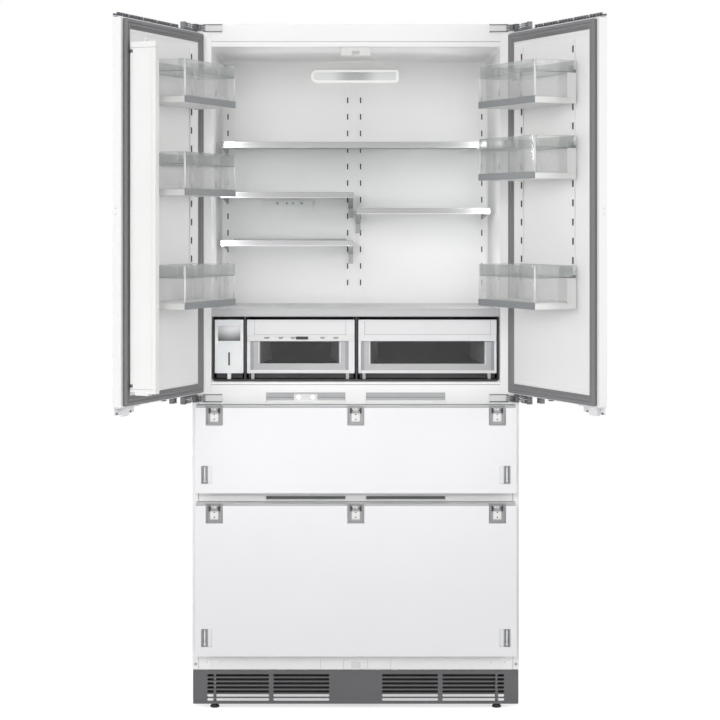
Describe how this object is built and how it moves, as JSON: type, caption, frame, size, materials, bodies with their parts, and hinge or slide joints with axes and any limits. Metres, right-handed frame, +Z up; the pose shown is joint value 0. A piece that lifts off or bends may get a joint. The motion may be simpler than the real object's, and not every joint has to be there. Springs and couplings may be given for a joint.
{
  "type": "built-in french door refrigerator",
  "caption": "Built-in refrigerator with two hinged doors, glass shelves, crispers and door bins over two freezer drawers, on a plinth with an air grille.",
  "frame": {"origin": "on the floor, under the middle of the cabinet's front plane", "axes": "+X to the right of someone facing the doors, +Y into the cabinet, +Z up"},
  "size_m": [1.2623, 1.01, 1.903],
  "materials": {
    "galvanised_steel": "satin",
    "polyurethane_foam": "matte",
    "grey_liner_plastic": "satin",
    "white_liner_plastic": "satin",
    "white_painted_steel": "satin",
    "lamp_lens": "gloss",
    "grille_plastic": "matte",
    "black_foot_rubber": "matte",
    "black_painted_steel": "satin",
    "fin_aluminium": "satin",
    "charcoal_plastic": "satin",
    "white_moulded_plastic": "satin",
    "ladder_steel": "satin",
    "shelf_glass": "clear",
    "shelf_trim": "satin",
    "hinge_steel": "satin",
    "grey_gasket": "matte",
    "clear_bin_plastic": "clear",
    "tank_plastic": "gloss"
  },
  "bodies": {
    "cabinet": {"cabinet_shell": "galvanised_steel", "foam_insulation": "polyurethane_foam", "fridge_liner": "grey_liner_plastic", "freezer_liner": "white_liner_plastic", "front_frame": "white_painted_steel", "rail_lamps": "lamp_lens", "base_frame": "galvanised_steel", "kick_grille": "grille_plastic", "front_feet": "black_foot_rubber", "compressor": "black_painted_steel", "condenser": "fin_aluminium", "evaporator": "fin_aluminium", "fan_motors": "black_painted_steel", "control_box": "charcoal_plastic", "drip_tray": "charcoal_plastic", "power_inlet": "charcoal_plastic", "water_valve": "white_liner_plastic", "mullion_guide": "white_moulded_plastic", "light_panel": "lamp_lens", "shelf_ladders": "ladder_steel", "top_shelf_glass": "shelf_glass", "upper_left_shelf_glass": "shelf_glass", "lower_left_shelf_glass": "shelf_glass", "right_shelf_glass": "shelf_glass", "shelf_frames": "shelf_trim", "crisper_cover": "shelf_trim", "crisper_housing": "charcoal_plastic", "hinge_arms": "hinge_steel", "cabinet_slides": "galvanised_steel"},
    "left_door": {"left_door": "white_painted_steel", "left_door_liner": "grey_liner_plastic", "left_door_gasket": "grey_gasket", "left_lower_bin": "clear_bin_plastic", "left_middle_bin": "clear_bin_plastic", "left_top_bin": "clear_bin_plastic", "left_door_fittings": "hinge_steel"},
    "right_door": {"right_door": "white_painted_steel", "right_door_liner": "grey_liner_plastic", "right_door_gasket": "grey_gasket", "right_lower_bin": "clear_bin_plastic", "right_middle_bin": "clear_bin_plastic", "right_top_bin": "clear_bin_plastic", "right_door_fittings": "hinge_steel"},
    "folding_bar": {"folding_bar": "white_moulded_plastic"},
    "upper_drawer": {"upper_drawer_front": "white_painted_steel", "upper_drawer_gasket": "grey_gasket", "upper_drawer_metalwork": "galvanised_steel", "upper_drawer_bin": "clear_bin_plastic"},
    "lower_drawer": {"lower_drawer_front": "white_painted_steel", "lower_drawer_gasket": "grey_gasket", "lower_drawer_metalwork": "galvanised_steel", "lower_drawer_bin": "clear_bin_plastic"},
    "left_crisper": {"left_crisper": "clear_bin_plastic"},
    "right_crisper": {"right_crisper": "clear_bin_plastic"},
    "water_tank": {"water_tank": "tank_plastic"},
    "humidity_slider": {"humidity_slider": "charcoal_plastic"},
    "condenser_fan": {"condenser_fan": "charcoal_plastic"},
    "evaporator_fan": {"evaporator_fan": "charcoal_plastic"},
    "left_roller": {"left_roller": "white_liner_plastic"},
    "right_roller": {"right_roller": "white_liner_plastic"}
  },
  "joints": [
    {"name": "left_door_hinge", "type": "hinge", "parent": "cabinet", "child": "left_door", "pos_m": [-0.446, -0.028, 1.377], "axis": [0, 0, 1], "range_deg": [0, 113]},
    {"name": "right_door_hinge", "type": "hinge", "parent": "cabinet", "child": "right_door", "pos_m": [0.446, -0.028, 1.377], "axis": [0, 0, -1], "range_deg": [0, 115.5]},
    {"name": "folding_bar_hinge", "type": "hinge", "parent": "left_door", "child": "folding_bar", "pos_m": [-0.5715, -0.41579, 1.361], "axis": [0, 0, -1], "range_deg": [0, 90]},
    {"name": "upper_drawer_slide", "type": "slide", "parent": "cabinet", "child": "upper_drawer", "axis": [0, 1, 0], "range_m": [-0.39, 0]},
    {"name": "lower_drawer_slide", "type": "slide", "parent": "cabinet", "child": "lower_drawer", "axis": [0, 1, 0], "range_m": [-0.3, 0]},
    {"name": "left_crisper_slide", "type": "slide", "parent": "cabinet", "child": "left_crisper", "axis": [0, 1, 0], "range_m": [-0.3, 0]},
    {"name": "right_crisper_slide", "type": "slide", "parent": "cabinet", "child": "right_crisper", "axis": [0, 1, 0], "range_m": [-0.3, 0]},
    {"name": "water_tank_slide", "type": "slide", "parent": "cabinet", "child": "water_tank", "axis": [0, 1, 0], "range_m": [-0.24, 0]},
    {"name": "humidity_slide", "type": "slide", "parent": "left_crisper", "child": "humidity_slider", "axis": [1, 0, 0], "range_m": [-0.06, 0.06]},
    {"name": "condenser_fan_spin", "type": "hinge", "parent": "cabinet", "child": "condenser_fan", "pos_m": [0.04, 0.4725, 0.12], "axis": [1, 0, 0], "continuous": true},
    {"name": "evaporator_fan_spin", "type": "hinge", "parent": "cabinet", "child": "evaporator_fan", "pos_m": [0, 0.4417, 0.49265], "axis": [0, 1, 0], "continuous": true},
    {"name": "left_roller_spin", "type": "hinge", "parent": "cabinet", "child": "left_roller", "pos_m": [-0.42, 0.5, 0.02], "axis": [1, 0, 0], "continuous": true},
    {"name": "right_roller_spin", "type": "hinge", "parent": "cabinet", "child": "right_roller", "pos_m": [0.42, 0.5, 0.02], "axis": [1, 0, 0], "continuous": true}
  ],
  "couplings": [
    {"joint": "folding_bar_hinge", "follows": "left_door_hinge", "ratio": 0.7965}
  ]
}
